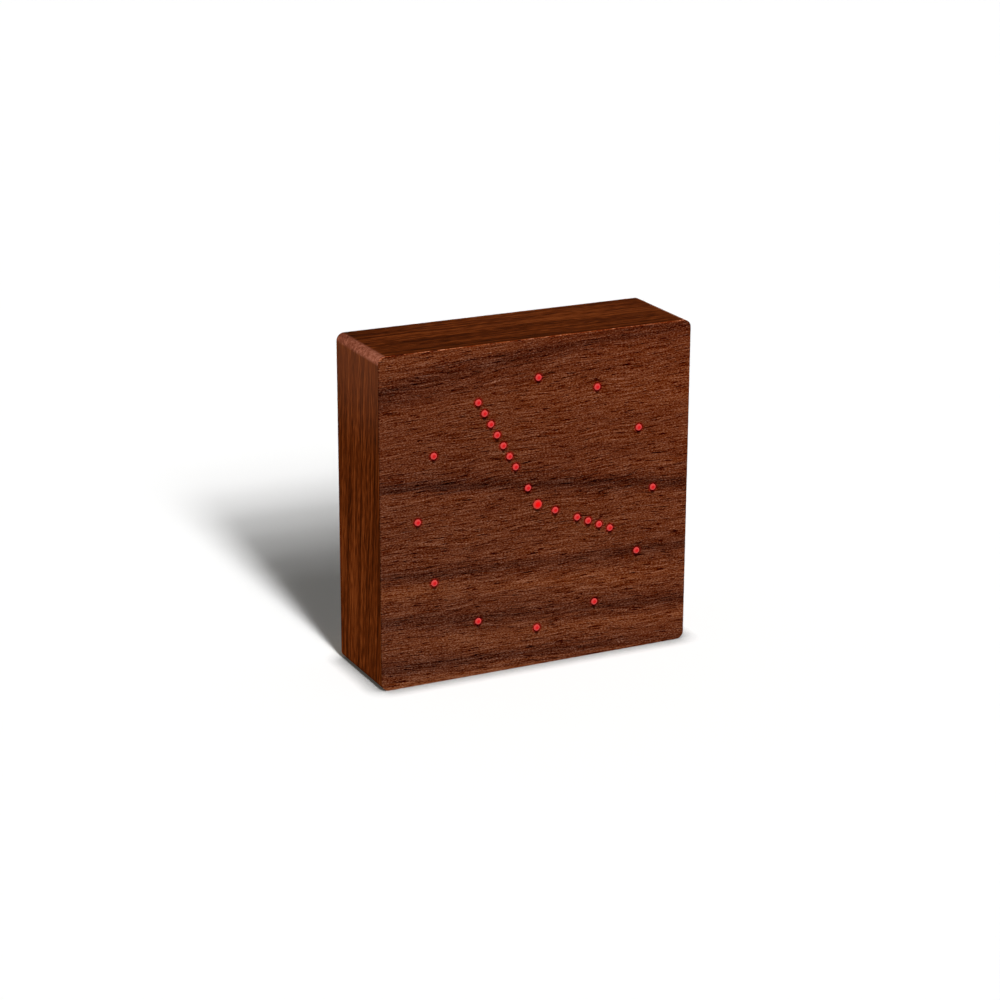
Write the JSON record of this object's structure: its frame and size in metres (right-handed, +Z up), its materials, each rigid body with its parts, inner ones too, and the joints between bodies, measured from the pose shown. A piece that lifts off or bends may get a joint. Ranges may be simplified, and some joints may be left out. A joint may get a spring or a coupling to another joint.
{
  "type": "square block clock with lit dots",
  "caption": "Square wooden block desk clock that shows the time as lit dots, with keys, a sound switch, a power socket and a battery flap behind.",
  "frame": {"origin": "under the middle of the block, on the plane it stands on", "axes": "+Z up, -Y out of the face with the dots, +X to the right seen from the front"},
  "size_m": [0.15, 0.0455, 0.15],
  "materials": {
    "walnut_face": "satin open-pore walnut veneer",
    "walnut_band": "satin walnut veneer, grain along the band",
    "case_board": "raw fibreboard",
    "dot_red": "lit translucent red",
    "dot_centre": "lit translucent red, brighter",
    "opal": "matt opal",
    "mask_black": "matt black",
    "lamp_cream": "clear over phosphor cream",
    "board_green": "green solder resist",
    "part_black": "black moulded electronics",
    "screw_steel": "zinc plated",
    "tinned": "tinned bright",
    "cover_black": "fine spark texture",
    "button_grey": "smooth satin",
    "plunger_tan": "satin",
    "cell_green": "printed sleeve, plain",
    "lead_red": "satin",
    "lead_black": "satin",
    "plug_ivory": "satin",
    "ribbon_grey": "satin",
    "capacitor_blue": "printed sleeve, plain"
  },
  "bodies": {
    "clock_case": {"face_veneer": "walnut_face", "side_veneer": "walnut_band", "case_frame": "case_board", "glue_blocks": "case_board", "hour_ring_dots": "dot_red", "minute_hand_dots": "dot_red", "hour_hand_dots": "dot_red", "centre_dot": "dot_centre", "diffuser_sheet": "opal", "light_mask": "mask_black", "lamp_matrix": "lamp_cream", "display_board": "board_green", "main_board": "board_green", "lamp_drivers": "part_black", "clock_chip": "part_black", "push_switches": "part_black", "buzzer": "part_black", "socket_tongue": "part_black", "display_screws": "screw_steel", "board_screws": "screw_steel", "cover_screws": "screw_steel", "battery_springs": "tinned", "battery_plates": "tinned", "crystal": "tinned", "power_socket": "tinned", "slide_switch": "tinned", "microphone": "tinned", "rear_cover": "cover_black", "battery_cells": "cell_green", "positive_lead": "lead_red", "negative_lead": "lead_black", "display_plug": "plug_ivory", "main_plug": "plug_ivory", "ribbon_cable": "ribbon_grey", "capacitors": "capacitor_blue"},
    "battery_flap": {"battery_door": "cover_black"},
    "set_key": {"set_button": "button_grey", "set_plunger": "plunger_tan"},
    "up_key": {"up_button": "button_grey", "up_plunger": "plunger_tan"},
    "down_key": {"down_button": "button_grey", "down_plunger": "plunger_tan"},
    "sound_slider": {"switch_knob": "button_grey", "switch_lever": "part_black"}
  },
  "joints": [
    {"name": "battery_flap_hinge", "type": "hinge", "parent": "clock_case", "child": "battery_flap", "pos_m": [0, 0.02025, 0.0245], "axis": [-1, 0, 0], "range_deg": [0, 95]},
    {"name": "set_key_press", "type": "slide", "parent": "clock_case", "child": "set_key", "axis": [0, -1, 0], "range_m": [0, 0.0005], "stiffness_N_per_m": 2000},
    {"name": "up_key_press", "type": "slide", "parent": "clock_case", "child": "up_key", "axis": [0, -1, 0], "range_m": [0, 0.0005], "stiffness_N_per_m": 2000},
    {"name": "down_key_press", "type": "slide", "parent": "clock_case", "child": "down_key", "axis": [0, -1, 0], "range_m": [0, 0.0005], "stiffness_N_per_m": 2000},
    {"name": "sound_slider_travel", "type": "slide", "parent": "clock_case", "child": "sound_slider", "axis": [1, 0, 0], "range_m": [0, 0.002]}
  ]
}
